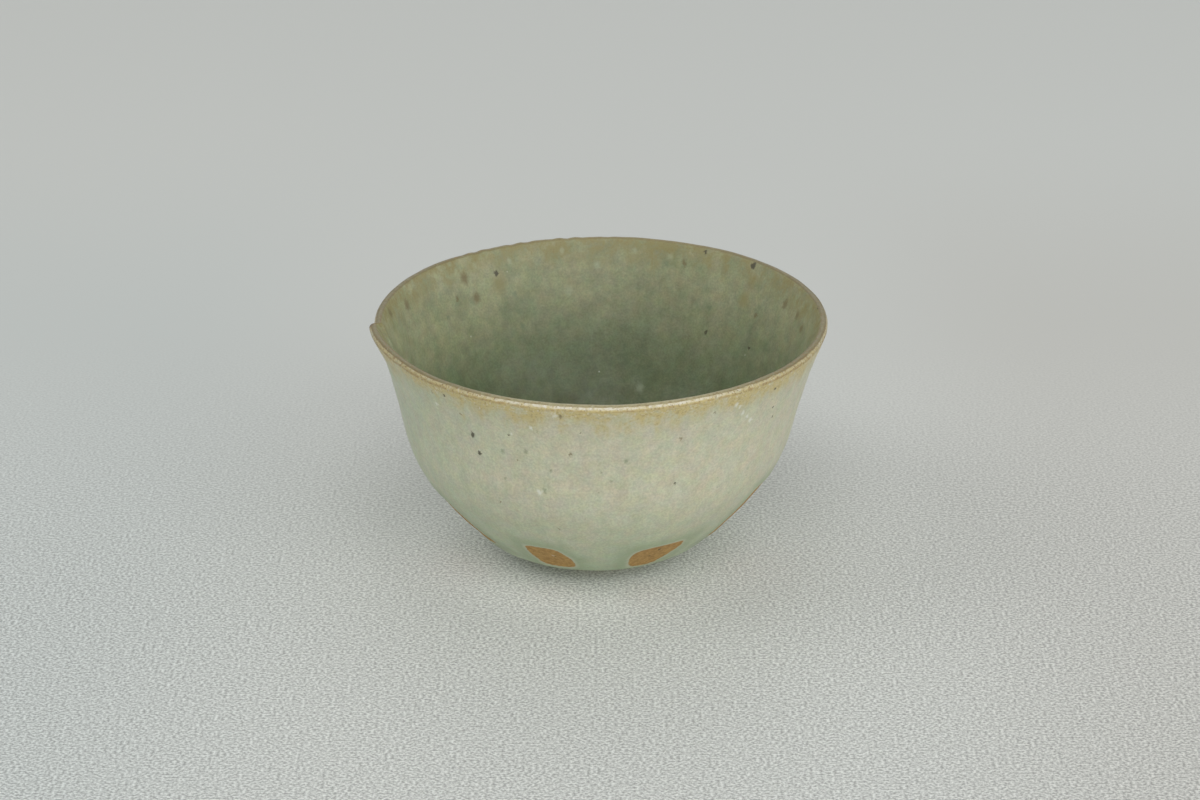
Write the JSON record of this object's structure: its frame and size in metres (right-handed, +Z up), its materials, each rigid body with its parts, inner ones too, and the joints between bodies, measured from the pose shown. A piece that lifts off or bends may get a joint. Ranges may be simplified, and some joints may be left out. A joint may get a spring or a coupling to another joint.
{
  "type": "ash glaze cup",
  "caption": "Small wide thrown cup with a flared chipped lip, a rounded lower body on a low foot ring and a pale green-grey ash glaze with bare finger marks.",
  "frame": {"origin": "on the ground under the middle of the rim", "axes": "+Z up, the side that the picture shows faces -Y, the chipped step in the lip is at -X"},
  "size_m": [0.0878, 0.0872, 0.0468],
  "materials": {
    "ash_glaze": "semi-matt pale green-grey wood ash glaze over warm buff stoneware, ochre at the lip, bare orange-brown clay at the finger marks and foot"
  },
  "bodies": {
    "root": {"cup": "ash_glaze"}
  },
  "joints": []
}
